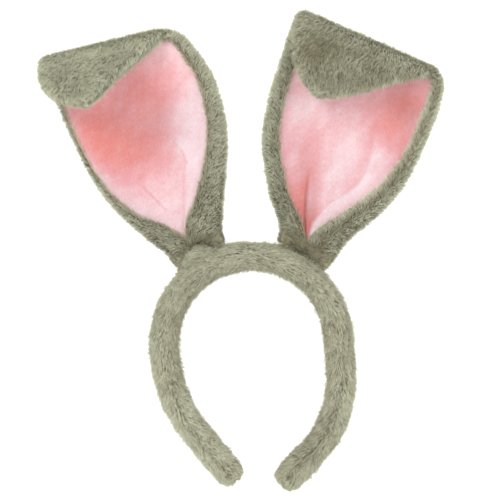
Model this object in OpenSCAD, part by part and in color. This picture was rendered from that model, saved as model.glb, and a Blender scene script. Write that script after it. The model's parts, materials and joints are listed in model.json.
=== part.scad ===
// Plush rabbit-ears headband.
// The hoop lies in the XZ plane and +Y points to the back of the head. The origin is the centre
// of the crown's inner circle. A flat plastic strip, a foam pad and a short-pile fur sleeve make
// the hoop. Each ear is fur at the back, a pink velvet lining at the front, and a stiffener and a
// wire between them, and its tip is folded forward and down over a crease.

/* [Hoop] */
// Radius of the crown's inner face
crown_r = 49; // [46:0.5:52]
// Thickness of the padded band, measured outward from the head
band_t = 19; // [17:0.5:20]
// Depth of the band from front to back
band_d = 24; // [22:0.5:28]
// Radius of the band's four long edges
band_edge_r = 7; // [5:0.5:8]
// Thickness of the fur sleeve, with its pile pressed flat
sleeve_t = 2.5; // [1.5:0.25:3]
// Thickness of the plastic strip
strip_t = 1.6; // [1:0.2:2.4]
// Width of the plastic strip
strip_w = 12; // [8:1:14]

/* [Ears] */
// Angle of each ear's root from the top of the hoop
root_angle = 30; // [27:1:33]
// Width of the gathered root
root_w = 32; // [26:1:34]
// Radius of the rolled root
root_r = 5; // [4:0.25:5.5]
// Thickness of an ear without its front rim
ear_t = 6.5; // [6:0.25:8]
// Width of the fur rim that wraps to the front
rim_w = 9; // [7:0.5:12]
// How far the rims stand forward of the middle of the ear
cup = 12; // [4:1:14]
// Inner radius of the roll at the crease
roll_r = 3.5; // [3.25:0.25:5]
// Forward lean of the left tip from the plane of its ear
left_lean = 28; // [20:1:35]
// Forward lean of the right tip from the plane of its ear
right_lean = 15; // [15:1:30]

/* [Hidden] */

$fn = 48;
fur = "#8d927f";
pink = "#f6b9bd";
foam = "#e8e2c8";
plastic = "#d8dadc";
thread = "#cfd0bd";
steel = "#b4b8bc";
felt = "#6d7163";
paper = "#f3f1ea";

// Hoop
centre_r = crown_r + band_t / 2;
hinge_angle = 18;
knuckle_r = 12.5;
knuckle_gap = 0.3;
thread_r = 0.4;
knuckle_turn = 16;
cap_wall = 0.8;
cap_len = 8;
// Clearance between nested layers, and what keeps overlapping runs apart
fit = 0.1;
step = 0.02;
join = 0.3;
// Each arm: direction in which it leaves the crown's circle, straight run, bend radius,
// bend angle and straight tail
left_arm = [-2, 1, 95, 37.5, 33.5];
right_arm = [4, 23, 72, 48, 21];

// Ear layers, as depths behind the lining's front face
roll_outer = roll_r + ear_t;
lip = -2.5;
lining_d = [0, 1.1];
stiffener_d = [1.35, 2.25];
pocket_d = [-0.45, 2.6];
wire_r = 0.5;
wire_d = 0.45;
wire_inset = 5.2;
wall = 2.8;
piping_r = 0.5;
piping_inset = rim_w + 1.5;
across = 12;
crest_gap = 2;
seat_t = 1;
root_gap = 0.3;
root_axis_r = crown_r + band_t + seat_t + root_gap + root_r;
root_y = 2;
sheet_start_r = root_axis_r + root_r + 0.2;
// How far an ear's lowest row reaches past its root, towards the other ear and away from it
foot_inner = 6;
foot_outer = 3;

// Edges of each ear above its root, [x, z] seen from the front
left_edge_a = [[-71, 71], [-88, 86], [-104, 106], [-118, 133], [-129, 158]];
left_edge_b = [[-19, 87], [-18, 101], [-16, 125], [-17, 149], [-26, 180]];
right_edge_a = [[17, 86], [12, 99], [8, 120], [7, 140], [11, 163], [17, 184]];
right_edge_b = [[67, 71], [85, 86], [101, 104], [113, 126], [121, 145], [127, 161]];
// Crest of each crease, from its left end to its right end
left_crest = [[-142, 192], [-58, 212]];
right_crest = [[32.5, 225], [126.5, 184]];
// Extra width below the crest at the left and right ends of each crease
left_flare = [0, 12];
right_flare = [1, 7];
// Outline of each folded tip: distance below the roll, left end and right end along the crease
left_tip = [[0, -46, 38.5], [7, -47, 28], [14, -46, 16.5], [20.5, -44, 5.5], [26, -40, -2.5],
            [31, -33.5, -8], [34, -26, -14]];
right_tip = [[0, -50, 44], [5, -49, 36], [14, -47, 25], [23, -42.5, 14.5], [31, -36.5, 5],
             [37, -29.5, -3.5], [40.5, -22, -12]];

function mix(a, b, f) = a + (b - a) * f;
function polar(r, a) = [r * cos(a), r * sin(a)];
function clamp(v, low, high) = max(low, min(v, high));
function unit(v) = v / norm(v);

// Smooth curve through a list of points, u from 0 to the last point's index
function curve(p, u) =
    let (i = clamp(floor(u), 0, len(p) - 2),
         f = u - i,
         p0 = p[max(i - 1, 0)],
         p1 = p[i],
         p2 = p[i + 1],
         p3 = p[min(i + 2, len(p) - 1)])
    p1 + 0.5 * f * ((p2 - p0) + f * ((2 * p0 - 5 * p1 + 4 * p2 - p3)
                                     + f * (3 * p1 - p0 - 3 * p2 + p3)));

// ---- Hoop ----

// Rounded rectangle, as exact arcs
module rounded(w, h, r) {
    square([w, h - 2 * r], center = true);
    square([w - 2 * r, h], center = true);
    for (x = [-1, 1], y = [-1, 1])
        translate([x * (w / 2 - r), y * (h / 2 - r)]) circle(r);
}

// $inset shrinks solid outlines and widens hollows, so that runs which overlap end to end
// never share a face
module sleeve_outline() rounded(band_t - 2 * $inset, band_d - 2 * $inset, band_edge_r);
module sleeve_hollow()
    rounded(band_t - 2 * sleeve_t + 2 * $inset, band_d - 2 * sleeve_t + 2 * $inset,
            band_edge_r - sleeve_t);
module pad_outline()
    rounded(band_t - 2 * sleeve_t - 2 * (fit + $inset), band_d - 2 * sleeve_t - 2 * (fit + $inset),
            band_edge_r - sleeve_t);
module strip_outline() square([strip_t - 2 * $inset, strip_w - 2 * $inset], center = true);
module strip_hollow()
    square([strip_t + 2 * (fit + $inset), strip_w + 2 * (fit + $inset)], center = true);
module thread_outline() translate([0, band_d / 2 + thread_r]) circle(thread_r - $inset);

module sleeve_section() difference() {
    sleeve_outline();
    sleeve_hollow();
}

module pad_section() difference() {
    pad_outline();
    strip_hollow();
}

// A profile swept round an axis along Y, between two directions in the XZ plane
module arc_run(c, r, from, to)
    translate([c.x, 0, c.y]) rotate([90, 0, 0]) rotate([0, 0, from])
        rotate_extrude(angle = to - from, $fn = 96) translate([r, 0]) mirror([0, 1]) children();

// Local X outward along direction a, local Z back up the band
module on_band(p, a) translate([p.x, 0, p.y]) rotate([0, -a, 0]) children();

// Straight stretch that reaches a little into the runs at its two ends
module straight_run(p, a, length)
    on_band(p, a) translate([0, 0, -length - join]) linear_extrude(length + 2 * join) children();

module round_end(p, a)
    on_band(p, a) rotate([90, 0, 0]) rotate([0, 0, 180]) rotate_extrude(angle = 180)
        intersection() {
            children();
            translate([0, -band_d]) square([band_t, 2 * band_d]);
        }

module knuckle(r)
    translate([centre_r * cos(hinge_angle), 0, centre_r * sin(hinge_angle)])
        rotate([90, 0, 0]) cylinder(h = 2 * band_d, r = r, center = true);

// The crown's stretch of a profile, cut back to the two knuckles
module crown_run()
    difference() {
        arc_run([0, 0], centre_r, hinge_angle, 180 - hinge_angle) children();
        knuckle(knuckle_r + knuckle_gap);
        mirror([1, 0, 0]) knuckle(knuckle_r + knuckle_gap);
    }

function bend_start(arm) =
    polar(centre_r, arm[0]) + arm[1] * [sin(arm[0]), -cos(arm[0])];
function bend_centre(arm) = bend_start(arm) - polar(arm[2], arm[0]);
function tail_dir(arm) = arm[0] - arm[3];
function tail_start(arm) = bend_centre(arm) + polar(arm[2], tail_dir(arm));
function tail_end(arm) =
    tail_start(arm) + arm[4] * [sin(tail_dir(arm)), -cos(tail_dir(arm))];

// Everything on the arm's side of the joint, with the round head of the knuckle
module arm_side() {
    knuckle(knuckle_r);
    on_band(polar(centre_r, hinge_angle), hinge_angle)
        translate([-band_t, -band_d, -4 * band_t]) cube([2 * band_t, 2 * band_d, 4 * band_t]);
}

// One arm's stretch of a profile, drawn for the right side
module arm_run(arm) {
    intersection() {
        arc_run([0, 0], centre_r, arm[0], hinge_angle + knuckle_turn, $inset = 0) children();
        arm_side();
    }
    straight_run(polar(centre_r, arm[0]), arm[0], arm[1], $inset = step) children();
    arc_run(bend_centre(arm), arm[2], tail_dir(arm), arm[0], $inset = 2 * step) children();
    straight_run(tail_start(arm), tail_dir(arm), arm[4], $inset = 3 * step) children();
}

module strip_cap_block(arm, grow)
    on_band(tail_end(arm), tail_dir(arm)) translate([0, 0, (cap_len - 2 * cap_wall) / 2])
        cube([strip_t + 2 * cap_wall + grow, strip_w + 2 * cap_wall + grow, cap_len + grow],
             center = true);

module strip_cap(arm)
    color(plastic) difference() {
        strip_cap_block(arm, 0);
        on_band(tail_end(arm), tail_dir(arm)) translate([0, 0, cap_len / 2 + fit - cap_wall])
            cube([strip_t + 2 * fit, strip_w + 2 * fit, cap_len + 2 * cap_wall], center = true);
    }

module core_arm(arm) color(plastic) arm_run(arm) strip_outline();

module padding_arm(arm)
    color(foam) difference() {
        union() {
            arm_run(arm) pad_section();
            round_end(tail_end(arm), tail_dir(arm), $inset = 4 * step) pad_outline();
        }
        strip_cap_block(arm, 2 * fit);
    }

module sleeve_arm(arm)
    color(fur) {
        arm_run(arm) sleeve_section();
        round_end(tail_end(arm), tail_dir(arm), $inset = 4 * step) sleeve_section();
    }

module seam_arm(arm) color(thread) arm_run(arm) thread_outline();

module core_crown() color(plastic) crown_run($inset = 0) strip_outline();

module padding_crown()
    color(foam) crown_run($inset = 0) pad_section();

module sleeve_crown()
    color(fur) crown_run($inset = 0) sleeve_section();

module seam_crown() color(thread) crown_run($inset = 0) thread_outline();

// ---- Ears ----

// End of an ear's lowest row, just above its root; side and end are -1 left, 1 right
function root_end(side, end) =
    sheet_start_r * [side * sin(root_angle), cos(root_angle)]
    + end * (root_w / 2 + (side * end < 0 ? foot_inner : foot_outer))
        * [cos(root_angle), -side * sin(root_angle)];

// An ear: left edge, right edge, crest ends, flare, tip outline and lean
left_ear = [concat([root_end(-1, -1)], left_edge_a), concat([root_end(-1, 1)], left_edge_b),
            left_crest, left_flare, left_tip, left_lean];
right_ear = [concat([root_end(1, -1)], right_edge_a), concat([root_end(1, 1)], right_edge_b),
             right_crest, right_flare, right_tip, right_lean];

function crease_dir(ear) = unit(ear[2][1] - ear[2][0]);
function crease_up(ear) = let (c = crease_dir(ear)) [-c.y, c.x];
function crest_half(ear) = norm(ear[2][1] - ear[2][0]) / 2;

// Point on the roll's axis, x along the crease from its middle
function roll_axis(ear, x) =
    let (p = (ear[2][0] + ear[2][1]) / 2 - roll_outer * crease_up(ear) + x * crease_dir(ear))
    [p.x, -roll_r, p.y];

// Direction through the layers, from lining to fur, at an angle round the roll
function outward(ear, angle) =
    let (up = crease_up(ear)) [up.x * sin(angle), cos(angle), up.y * sin(angle)];

// A row across an ear is [left end, right end, outward direction, cup]
function roll_row(ear, angle) =
    let (f = clamp(1 - angle / 90, 0, 1),
         g = clamp(angle / 90 - 1, 0, 1) * 90 / (90 - ear[5]),
         half = crest_half(ear),
         low = -half - f * ear[3][0] + g * (ear[4][0][1] + half),
         high = half + f * ear[3][1] + g * (ear[4][0][2] - half),
         out = outward(ear, angle))
    [roll_axis(ear, low) + roll_r * out, roll_axis(ear, high) + roll_r * out, out, 0];

function tip_row(ear, u) =
    let (spot = curve(ear[4], u),
         angle = 180 - ear[5],
         up = crease_up(ear),
         out = outward(ear, angle),
         down = [up.x * cos(angle), -sin(angle), up.y * cos(angle)])
    [roll_axis(ear, spot[1]) + roll_r * out + spot[0] * down,
     roll_axis(ear, spot[2]) + roll_r * out + spot[0] * down, out, 0];

function flat_row(ear, u) =
    let (spring = roll_row(ear, 0),
         a = curve(concat(ear[0], [[spring[0].x, spring[0].z]]), u),
         b = curve(concat(ear[1], [[spring[1].x, spring[1].z]]), u),
         bulge = cup * pow(sin(180 * pow(u / len(ear[0]), 0.7)), 1.2))
    [[a.x, 0, a.y], [b.x, 0, b.y], [0, 1, 0], max(bulge, 0)];

// Rows lie closer together just above the root, where the cup deepens quickly
function ear_rows(ear, from = 0) = concat(
    [for (u = [0, 0.15, 0.3, each [0.5:0.5:len(ear[0]) - 0.25]]) if (u >= from) flat_row(ear, u)],
    [for (angle = [0:22.5:90]) roll_row(ear, angle)]);

function tip_rows(ear, cut = 0) = concat(
    [for (i = [0:3]) roll_row(ear, mix(90 + crest_gap, 180 - ear[5], i / 4))],
    [for (u = [0:0.5:len(ear[4]) - 1 - cut]) tip_row(ear, u)]);

function row_w(row) = norm(row[1] - row[0]);
function rim(row) = min(rim_w, 0.4 * row_w(row));

// Point on a row, a measured across it in mm and d measured through the layers
function spot(row, a, d) =
    let (f = a / row_w(row))
    mix(row[0], row[1], f) + row[2] * (d - row[3] * pow(2 * f - 1, 2));

// Closed ring of a flat layer
function slab_ring(row, inset, d) =
    let (w = row_w(row))
    concat([for (i = [0:across]) spot(row, mix(inset, w - inset, i / across), d[0])],
           [for (i = [across:-1:0]) spot(row, mix(inset, w - inset, i / across), d[1])]);

// Closed ring of the fur panel: back face, both rounded rims and the pocket behind them
function panel_ring(row) =
    let (w = row_w(row),
         r = rim(row),
         side = min(wall, 0.3 * r),
         edge = [[0, 2], [side * 0.3, -1.4], [side, lip], [r - 1, lip], [r, -1.2],
                 [r, pocket_d[0]], [side, pocket_d[0]], [side, pocket_d[1]]],
         back = [side * 0.3, ear_t - 1.5])
    concat([for (p = edge) spot(row, p[0], p[1])],
           [for (i = [1:across - 1]) spot(row, mix(side, w - side, i / across), pocket_d[1])],
           [for (i = [len(edge) - 1:-1:0]) spot(row, w - edge[i][0], edge[i][1])],
           [spot(row, w - back[0], back[1])],
           [for (i = [across:-1:0]) spot(row, mix(side, w - side, i / across), ear_t)],
           [spot(row, back[0], back[1])]);

// Faces that close a flat layer's ring, whose front and back points lie opposite one another
function slab_cap(n, start) =
    [for (j = [0:n / 2 - 2]) each [
        [start + j, start + j + 1, start + n - 1 - j],
        [start + j + 1, start + n - 2 - j, start + n - 1 - j]
    ]];
function flipped(faces) = [for (f = faces) [f[2], f[1], f[0]]];

// Solid through a list of rings with equal numbers of points
module loft(rings, slab = false) {
    n = len(rings[0]);
    last = (len(rings) - 1) * n;
    ends = slab
        ? concat(slab_cap(n, 0), flipped(slab_cap(n, last)))
        : [[for (j = [0:n - 1]) j], [for (j = [n - 1:-1:0]) last + j]];
    walls = [for (i = [0:len(rings) - 2], j = [0:n - 1])
        let (k = (j + 1) % n, p = i * n) each [
            [p + j, p + n + j, p + k],
            [p + k, p + n + j, p + n + k]
        ]];
    polyhedron(
        points = [for (ring = rings) each ring],
        faces = concat(walls, ends));
}

// Round thread or wire along a path
module tube(path, r, sides = 8) {
    n = len(path);
    rings = [for (i = [0:n - 1])
        let (ahead = unit(path[min(i + 1, n - 1)] - path[max(i - 1, 0)]),
             side = unit(cross(ahead, abs(ahead.y) > 0.8 ? [1, 0, 0] : [0, 1, 0])),
             lift = cross(side, ahead))
        [for (j = [0:sides - 1])
            path[i] + r * (cos(360 * j / sides) * side + sin(360 * j / sides) * lift)]];
    loft(rings);
}

// Point on a row, g being 0 at the left inset and 1 at the right one
function on_row(row, g, inset, d) = spot(row, mix(inset, row_w(row) - inset, g), d);

// U-shaped path: down one rim, across just inside the first row and up the other rim. It stops
// short of the last row, so that it stays clear of the path beyond the crease.
function u_path(rows, inset, d) =
    let (n = len(rows))
    concat([mix(on_row(rows[n - 1], 0, inset, d), on_row(rows[n - 2], 0, inset, d), 0.5)],
           [for (i = [n - 2:-1:1]) on_row(rows[i], 0, inset, d)],
           [for (g = [0, 0.1, 0.25, 0.5, 0.75, 0.9, 1])
               mix(on_row(rows[0], g, inset, d), on_row(rows[1], g, inset, d), 0.5)],
           [for (i = [1:n - 2]) on_row(rows[i], 1, inset, d)],
           [mix(on_row(rows[n - 1], 1, inset, d), on_row(rows[n - 2], 1, inset, d), 0.5)]);

function reversed(rows) = [for (i = [len(rows) - 1:-1:0]) rows[i]];

module sheet(rows, inset, d) loft([for (row = rows) slab_ring(row, inset, d)], slab = true);

module fur_panel(rows) color(fur) loft([for (row = rows) panel_ring(row)]);

module ear_stiffener(ear) color(paper) sheet(ear_rows(ear), wall + 0.4, stiffener_d);
module tip_stiffener(ear) color(paper) sheet(tip_rows(ear, 1.5), wall + 0.4, stiffener_d);
module ear_lining(ear) color(pink) sheet(ear_rows(ear, 0.5), rim_w + 0.2, lining_d);
module tip_lining(ear) color(pink) sheet(tip_rows(ear, 2), rim_w + 0.2, lining_d);
module ear_wire(ear) color(steel) tube(u_path(ear_rows(ear), wire_inset, wire_d), wire_r);
module tip_wire(ear)
    color(steel) tube(u_path(reversed(tip_rows(ear, 1.5)), wire_inset, wire_d), wire_r);
module ear_piping(ear)
    color(thread)
        tube(u_path(ear_rows(ear, 0.5), piping_inset, -piping_r - 0.15), piping_r, 6);
module tip_piping(ear)
    color(thread)
        tube(u_path(reversed(tip_rows(ear, 2)), piping_inset, -piping_r - 0.15), piping_r, 6);

// Local X along the root, local Z away from the hoop's centre; side is -1 left, 1 right
module at_root(side) rotate([0, side * root_angle, 0]) children();

module ear_root(side)
    color(fur) at_root(side) translate([0, root_y, root_axis_r])
        rotate([0, 90, 0]) cylinder(h = root_w, r = root_r, center = true);

// Felt patch on the crest of the band, grooved for the rolled root
module ear_seat(side)
    color(felt)
        difference() {
            at_root(side) translate([2 - root_w / 2, root_y - 7, crown_r + band_t - 4])
                cube([root_w - 4, 14, 7]);
            arc_run([0, 0], centre_r, hinge_angle, 180 - hinge_angle, $inset = 0) sleeve_outline();
            at_root(side) translate([0, root_y, root_axis_r]) rotate([0, 90, 0])
                cylinder(h = 2 * root_w, r = root_r + root_gap, center = true);
        }

// Bars of thread over the patch's two long edges
module anchor_stitches(side)
    color(thread) at_root(side)
        for (x = [-12:6:12], y = [-1, 1])
            translate([x, root_y + y * 5.9, crown_r + band_t + 3 + thread_r]) rotate([90, 0, 0])
                cylinder(h = 2, r = thread_r, center = true);

core_crown();
mirror([1, 0, 0]) core_arm(left_arm);  // core_left_arm
core_arm(right_arm);  // core_right_arm
padding_crown();
mirror([1, 0, 0]) padding_arm(left_arm);  // padding_left_arm
padding_arm(right_arm);  // padding_right_arm
sleeve_crown();
mirror([1, 0, 0]) sleeve_arm(left_arm);  // sleeve_left_arm
sleeve_arm(right_arm);  // sleeve_right_arm
seam_crown();
mirror([1, 0, 0]) seam_arm(left_arm);  // seam_left_arm
seam_arm(right_arm);  // seam_right_arm
mirror([1, 0, 0]) strip_cap(left_arm);  // left_strip_cap
strip_cap(right_arm);  // right_strip_cap
ear_seat(-1);  // left_ear_seat
ear_seat(1);  // right_ear_seat
anchor_stitches(-1);  // left_anchor_stitches
anchor_stitches(1);  // right_anchor_stitches
ear_root(-1);  // left_ear_root
ear_root(1);  // right_ear_root
fur_panel(ear_rows(left_ear));  // left_ear_back
fur_panel(ear_rows(right_ear));  // right_ear_back
ear_stiffener(left_ear);  // left_ear_stiffener
ear_stiffener(right_ear);  // right_ear_stiffener
ear_lining(left_ear);  // left_ear_lining
ear_lining(right_ear);  // right_ear_lining
ear_wire(left_ear);  // left_ear_wire
ear_wire(right_ear);  // right_ear_wire
ear_piping(left_ear);  // left_ear_piping
ear_piping(right_ear);  // right_ear_piping
fur_panel(tip_rows(left_ear));  // left_tip_back
fur_panel(tip_rows(right_ear));  // right_tip_back
tip_stiffener(left_ear);  // left_tip_stiffener
tip_stiffener(right_ear);  // right_tip_stiffener
tip_lining(left_ear);  // left_tip_lining
tip_lining(right_ear);  // right_tip_lining
tip_wire(left_ear);  // left_tip_wire
tip_wire(right_ear);  // right_tip_wire
tip_piping(left_ear);  // left_tip_piping
tip_piping(right_ear);  // right_tip_piping
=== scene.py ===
"""Plush rabbit-ears headband: short-pile fur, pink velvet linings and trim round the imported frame.

Everything is in metres. Sizes written in millimetres are named values times MM.
"""

import json
import math

import bpy
import numpy as np
from mathutils.kdtree import KDTree
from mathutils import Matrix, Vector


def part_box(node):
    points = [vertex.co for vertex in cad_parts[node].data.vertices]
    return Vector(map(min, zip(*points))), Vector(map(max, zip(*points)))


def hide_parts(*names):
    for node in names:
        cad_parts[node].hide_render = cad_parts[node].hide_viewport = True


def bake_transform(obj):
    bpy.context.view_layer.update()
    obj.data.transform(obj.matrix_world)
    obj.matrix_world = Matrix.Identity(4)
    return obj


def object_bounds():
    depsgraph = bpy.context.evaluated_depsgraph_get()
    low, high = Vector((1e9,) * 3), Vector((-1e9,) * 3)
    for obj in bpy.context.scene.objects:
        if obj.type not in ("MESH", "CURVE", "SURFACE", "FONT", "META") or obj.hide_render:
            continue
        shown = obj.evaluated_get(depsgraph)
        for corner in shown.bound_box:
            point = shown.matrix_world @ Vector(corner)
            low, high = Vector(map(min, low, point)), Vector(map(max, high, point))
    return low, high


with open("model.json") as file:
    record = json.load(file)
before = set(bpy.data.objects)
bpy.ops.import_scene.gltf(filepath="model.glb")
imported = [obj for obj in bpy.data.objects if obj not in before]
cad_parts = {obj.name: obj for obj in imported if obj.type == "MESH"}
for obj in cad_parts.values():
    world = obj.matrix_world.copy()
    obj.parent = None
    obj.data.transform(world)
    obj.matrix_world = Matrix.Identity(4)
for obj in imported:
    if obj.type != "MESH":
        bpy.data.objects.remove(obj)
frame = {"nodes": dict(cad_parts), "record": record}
CAD_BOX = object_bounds()
RECORD = frame["record"]
JOINTS = {joint["name"]: joint for joint in RECORD["behaviour"]["joints"]}
MM = 0.001
# Direction from the front of the object to its back
DEPTH = np.array([0.0, 1.0, 0.0])

# ---- Sizes ----

# Hoop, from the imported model
CROWN_R = RECORD["mounts"][0]["dims"]["r_mm"] * MM
BAND_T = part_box("sleeve_crown")[1][2] - CROWN_R
BAND_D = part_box("sleeve_crown")[1][1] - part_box("sleeve_crown")[0][1]
CENTRE_R = CROWN_R + BAND_T / 2
BAND_EDGE_R = 7 * MM
# Each arm: direction in which it leaves the crown's circle, straight run, bend radius,
# bend angle and straight tail
ARMS = {"left": (-2, 1 * MM, 95 * MM, 37.5, 33.5 * MM), "right": (4, 23 * MM, 72 * MM, 48, 21 * MM)}
BAND_STEP = 2.2 * MM
BAND_BEND = 12 * MM
# How far the fur of each half passes the top of the crown, so that no parting shows there
BAND_LAP = 7 * MM

# Fur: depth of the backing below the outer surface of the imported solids, and its strands
BACKING = 2.3 * MM
PILE = 4.6 * MM
STRAND_W = 0.27 * MM
FUR_LEAN = math.radians(56)
LEAN_SPREAD = 0.17
STRAY_SHARE = 0.14
CLUMP_STRANDS = 8
CLUMP_PULL = 0.7
BAND_STRANDS = 64000
EAR_STRANDS = 62000
NECK_STRANDS = 11000

# Ears: width and place of the foot, thickness of the layers, radius of the roll at the crease,
# widths and insets in front, and the stretch over which the weights pass from ear to tip
ROOT_W = 32 * MM
FOOT_RISE = 2 * MM
EAR_T = 6.5 * MM
ROLL_R = 3.5 * MM
CUP = 12 * MM
# Lengths that rows and columns are counted from, and their steps
EAR_RUN = 155 * MM
TIP_RUN = 42 * MM
LINING_W = 85 * MM
EAR_STEP = 1.9 * MM
LINING_STEP = 0.8 * MM
LINING_T = 0.9 * MM
LINING_TUCK = 1.5 * MM
TIP_RIM = 8 * MM
FUR_WRAP = 9 * MM
PIPING_R = 0.42 * MM
EAR_BACK = EAR_T - BACKING
RIM_FRONT = -0.6 * MM
FUR_WALL = 2.3 * MM
WIRE_INSET = 5.2 * MM
WIRE_DEPTH = 0.45 * MM
WIRE_R = 0.5 * MM
STIFFENER_D = (1.35 * MM, 2.25 * MM)
CREASE_BEND = (-20 * MM, 15 * MM)

# Edges of each ear above its root and the outline of its folded tip, in mm: x and z on the
# ear; distance below the roll, left end and right end on the tip. feet are how far the foot
# flares toward the middle of the band and away from it. rims are the widths of the left and
# right fur rims from the root to the crease. The lines of the lining's folds run upward from
# its foot, and flap is the tip's lower edge in front of the lining. parting is the place
# across the tip that its fur falls away from, and split the place across the right rim where
# its fur parts. tip_light_and_shade lightens the fur of the tip as painted light or darkens it
# as painted shade, swirl darkens the fur of the parting's middle, and foot_shade darkens the
# fur of the foot as painted shade. climb is how far the band's own fur rises over the foot's
# front. Each spot of more or less salmon, or of dimness, painted as light and shade on the
# lining has a strength, centre, half sizes and turn in degrees.
EARS = {
    "left": {
        "left_edge": [[-71, 71], [-88, 86], [-104, 106], [-118, 133], [-129, 158]],
        "right_edge": [[-19, 87], [-18, 101], [-16, 125], [-17, 149], [-26, 180]],
        "crest_half": 43.2,
        "flare": (0, 12),
        "lean": 28,
        "tip": [[0, -46, 38.5], [7, -47, 28], [14, -46, 16.5], [20.5, -44, 5.5], [26, -40, -2.5],
                [31, -33.5, -8], [34, -26, -14]],
        "feet": (5, 2),
        "parting": 0.8,
        "split": 0.95,
        "tip_light_and_shade": 0.12,
        "swirl": 0,
        "foot_shade": -0.36,
        "climb": 5.8,
        "rims": ([17.6, 18.5, 8, 4.4, 2.7, 2.7, 3], [25.9, 26, 19.5, 15.5, 12.5, 10.5, 9.5]),
        "folds": {
            "wall": [[-45, 74], [-45, 114], [-43.5, 122], [-48, 131], [-52, 136]],
            "tuck": [[-58, 90], [-66, 98], [-72, 104], [-75, 110]],
            "flap": [[-124, 158], [-105, 160], [-99, 163], [-61, 198]],
            "painted_salmon_spots": [(0.33, (-62, 130), (18, 18), 0)],
            "painted_shade": [(1, (-66, 148), (26, 26), 0)],
        },
    },
    "right": {
        "left_edge": [[17, 86], [12, 99], [8, 120], [7, 140], [11, 163], [17, 184]],
        "right_edge": [[67, 71], [85, 86], [101, 104], [113, 126], [121, 145], [127, 161]],
        "crest_half": 51.3,
        "flare": (1, 7),
        "lean": 15,
        "tip": [[0, -50, 44], [5, -49, 36], [14, -47, 25], [23, -42.5, 14.5], [31, -36.5, 5],
                [37, -29.5, -3.5], [40.5, -22, -12]],
        "feet": (6.5, 4),
        "parting": 0.27,
        "split": 0.62,
        "tip_light_and_shade": -0.2,
        "swirl": 0.25,
        "foot_shade": -0.5,
        "climb": 0,
        "rims": ([20, 17, 14, 12.5, 11.5, 10.5, 10.5, 10.5], [22, 20.5, 18, 12.5, 9, 8.5, 8, 7.5]),
        "folds": {
            "valley": [[36, 68], [35.5, 84], [37, 102], [38, 110], [40, 119]],
            "wall": [[37, 66], [41, 81], [51, 93], [63, 100.5], [71, 107], [76, 114],
                     [80.5, 126], [82, 140]],
            "flap": [[28, 184], [41, 165], [63, 164], [86, 171], [121, 177]],
            "painted_salmon_spots": [(0.3, (40, 114), (7, 24), 0), (-0.3, (61, 120), (11, 30), 26),
                     (0.42, (93, 141), (16, 17), 0), (0.5, (105, 161), (15, 13), 0),
                     (0.1, (84, 160), (16, 16), 0), (-0.25, (33, 158), (14, 12), 0)],
            "painted_shade": [(1.2, (104, 158), (14, 15), 0), (0.5, (37, 110), (9, 26), 0),
                    (0.8, (39, 84), (5, 12), 0)],
        },
    },
}

# Camera: width of its view at the object, distance, and the x and z that it looks at
FRAME_W = 335 * MM
CAMERA_DISTANCE = 2.5
VIEW_CENTRE = (-1 * MM, 62.6 * MM)
SENSOR = 36.0

# Backdrop: its gap below the arms' tips, which swing down when they spread, the radius of its
# flat part and of its sweep up, and its height
FLOOR_GAP = 16 * MM
FLOOR_R = 3.0
SWEEP_R = 2.5
BACKDROP_H = 6.0


# ---- Small helpers ----

def smooth(t):
    t = np.clip(t, 0, 1)
    return t * t * (3 - 2 * t)


def bell(v, width):
    """Soft bump, 1 at zero and nearly gone at twice its width."""
    return np.exp(-(v / width) ** 2)


def unit(v):
    return v / np.maximum(np.linalg.norm(v, axis=-1, keepdims=True), 1e-12)


def waves(points, size, seed, count=7):
    """Smooth noise from -1 to 1, from waves whose length is about size."""
    rng = np.random.default_rng(seed)
    total = np.zeros(len(points))
    for _ in range(count):
        direction = unit(rng.normal(size=3)) * 2 * math.pi / (size * rng.uniform(0.7, 1.5))
        total += np.sin(points @ direction + rng.uniform(0, 2 * math.pi))
    return total / math.sqrt(count / 2) / 1.6


def curve(points, u):
    """Smooth curve through points, for an array of places u from 0 to the last index."""
    p = np.asarray(points, float)
    last = len(p) - 1
    i = np.clip(np.floor(u).astype(int), 0, last - 1)
    f = (u - i)[:, None]
    a, b, c, d = p[np.maximum(i - 1, 0)], p[i], p[i + 1], p[np.minimum(i + 2, last)]
    return b + 0.5 * f * ((c - a) + f * ((2 * a - 5 * b + 4 * c - d) + f * (3 * b - a - 3 * c + d)))


def vertex_normals(verts, quads):
    a, b, c, d = (verts[quads[:, k]] for k in range(4))
    face = np.cross(c - a, d - b)
    total = np.zeros_like(verts)
    for k in range(4):
        np.add.at(total, quads[:, k], face)
    return unit(total)


def tube_quads(rows, columns, closed=True):
    """Quads of a grid of rings, which close on themselves when closed is true."""
    i, j = np.meshgrid(np.arange(rows - 1), np.arange(columns if closed else columns - 1),
                       indexing="ij")
    k = (j + 1) % columns
    quads = np.stack([i * columns + j, i * columns + k, (i + 1) * columns + k,
                      (i + 1) * columns + j], -1)
    return quads.reshape(-1, 4)


def end_caps(rows, columns):
    """Faces that close the first and last rings of a tube."""
    last = (rows - 1) * columns
    return [list(range(columns))[::-1], list(range(last, last + columns))]


def new_object(name, verts, quads, material, ends=()):
    mesh = bpy.data.meshes.new(name)
    faces = [list(map(int, face)) for part in (quads, ends) for face in part]
    mesh.from_pydata([tuple(v) for v in verts], [], faces)
    mesh.update()
    mesh.polygons.foreach_set("use_smooth", [True] * len(mesh.polygons))
    mesh.materials.append(material)
    return placed(name, mesh)


def placed(name, mesh):
    piece = bpy.data.objects.new(name, mesh)
    bpy.context.scene.collection.objects.link(piece)
    return piece


def set_blend(piece, a, b, weights, start, end):
    """Bake the piece's placement into its mesh.
    The bodies a and b, weights, start and end are not used.
    """
    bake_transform(piece)


# ---- Materials ----

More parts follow.
